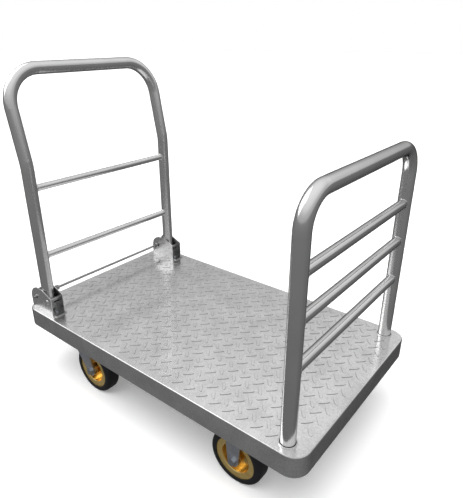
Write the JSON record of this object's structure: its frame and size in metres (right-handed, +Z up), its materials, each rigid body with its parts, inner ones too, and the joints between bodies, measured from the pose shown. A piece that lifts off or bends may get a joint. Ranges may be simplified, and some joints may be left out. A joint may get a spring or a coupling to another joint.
{
  "type": "folding platform cart",
  "caption": "Platform cart with a tread-plate deck, a fold-down push handle, a lift-out front handle, rigid front casters and swivel rear casters.",
  "frame": {"origin": "on the floor under the centre of the deck", "axes": "+X towards the lift-out front handle, +Y to the cart's left, +Z up"},
  "size_m": [1, 0.59, 0.9505],
  "materials": {
    "deck_steel": "light grey tread plate, satin",
    "frame_steel": "grey channels, satin",
    "tube_steel": "smooth bright steel tube",
    "bright_zinc": "bright zinc plated",
    "caster_zinc": "blue-grey zinc plated",
    "bolt_zinc": "zinc plated",
    "spring_steel": "bright drawn wire",
    "plug_black": "moulded black plastic",
    "tyre_rubber": "black solid rubber",
    "rim_yellow_zinc": "yellow zinc plated pressing",
    "bush_steel": "turned steel"
  },
  "bodies": {
    "deck": {"deck_plate": "deck_steel", "front_cross_beam": "frame_steel", "rear_cross_beam": "frame_steel", "center_rib_left": "frame_steel", "center_rib_right": "frame_steel", "front_socket_left": "tube_steel", "front_socket_right": "tube_steel", "hinge_bracket_left": "bright_zinc", "hinge_bracket_right": "bright_zinc", "pivot_pin_left": "bolt_zinc", "pivot_pin_right": "bolt_zinc", "fixed_fork_left": "caster_zinc", "fixed_fork_right": "caster_zinc", "front_axle_left": "bolt_zinc", "front_axle_right": "bolt_zinc", "swivel_plate_left": "caster_zinc", "swivel_plate_right": "caster_zinc", "kingpin_left": "bolt_zinc", "kingpin_right": "bolt_zinc", "swivel_balls_left": "spring_steel", "swivel_balls_right": "spring_steel", "bar_spring_left": "spring_steel", "bar_spring_right": "spring_steel", "bracket_bolts": "bolt_zinc", "caster_bolts": "bolt_zinc", "caster_nuts": "bolt_zinc"},
    "push_handle": {"push_handle_tube": "tube_steel", "push_lower_rung": "tube_steel", "push_upper_rung": "tube_steel", "push_tube_plugs": "plug_black", "pivot_sleeve_left": "tube_steel", "pivot_sleeve_right": "tube_steel", "latch_plate_left": "tube_steel", "latch_plate_right": "tube_steel"},
    "front_handle": {"front_handle_tube": "tube_steel", "front_rung_low": "tube_steel", "front_rung_mid": "tube_steel", "front_rung_top": "tube_steel", "front_tube_plugs": "plug_black"},
    "release_bar": {"release_bar": "bright_zinc", "bar_collars": "bright_zinc", "bar_clips": "spring_steel"},
    "rear_left_swivel": {"swivel_fork_left": "caster_zinc", "rear_axle_left": "bolt_zinc"},
    "rear_right_swivel": {"swivel_fork_right": "caster_zinc", "rear_axle_right": "bolt_zinc"},
    "front_left_wheel": {"tyre_front_left": "tyre_rubber", "rim_front_left": "rim_yellow_zinc", "hub_bush_front_left": "bush_steel"},
    "front_right_wheel": {"tyre_front_right": "tyre_rubber", "rim_front_right": "rim_yellow_zinc", "hub_bush_front_right": "bush_steel"},
    "rear_left_wheel": {"tyre_rear_left": "tyre_rubber", "rim_rear_left": "rim_yellow_zinc", "hub_bush_rear_left": "bush_steel"},
    "rear_right_wheel": {"tyre_rear_right": "tyre_rubber", "rim_rear_right": "rim_yellow_zinc", "hub_bush_rear_right": "bush_steel"}
  },
  "joints": [
    {"name": "push_handle_fold", "type": "hinge", "parent": "deck", "child": "push_handle", "pos_m": [-0.3985, 0, 0.274], "axis": [0, 1, 0], "range_deg": [0, 90]},
    {"name": "front_handle_lift", "type": "slide", "parent": "deck", "child": "front_handle", "axis": [0, 0, 1], "range_m": [0, 0.12]},
    {"name": "release_bar_slide", "type": "slide", "parent": "deck", "child": "release_bar", "axis": [1, 0, 0], "range_m": [-0.006, 0.005], "stiffness_N_per_m": 800, "deforming": ["bar_spring_left", "bar_spring_right"]},
    {"name": "rear_left_swivel_turn", "type": "hinge", "parent": "deck", "child": "rear_left_swivel", "pos_m": [-0.298, 0.228, 0.18], "axis": [0, 0, 1], "continuous": true},
    {"name": "rear_right_swivel_turn", "type": "hinge", "parent": "deck", "child": "rear_right_swivel", "pos_m": [-0.298, -0.228, 0.18], "axis": [0, 0, 1], "continuous": true},
    {"name": "front_left_wheel_spin", "type": "hinge", "parent": "deck", "child": "front_left_wheel", "pos_m": [0.298, 0.228, 0.076], "axis": [0, 1, 0], "continuous": true},
    {"name": "front_right_wheel_spin", "type": "hinge", "parent": "deck", "child": "front_right_wheel", "pos_m": [0.298, -0.228, 0.076], "axis": [0, 1, 0], "continuous": true},
    {"name": "rear_left_wheel_spin", "type": "hinge", "parent": "rear_left_swivel", "child": "rear_left_wheel", "pos_m": [-0.252, 0.228, 0.076], "axis": [0, 1, 0], "continuous": true},
    {"name": "rear_right_wheel_spin", "type": "hinge", "parent": "rear_right_swivel", "child": "rear_right_wheel", "pos_m": [-0.252, -0.228, 0.076], "axis": [0, 1, 0], "continuous": true}
  ]
}
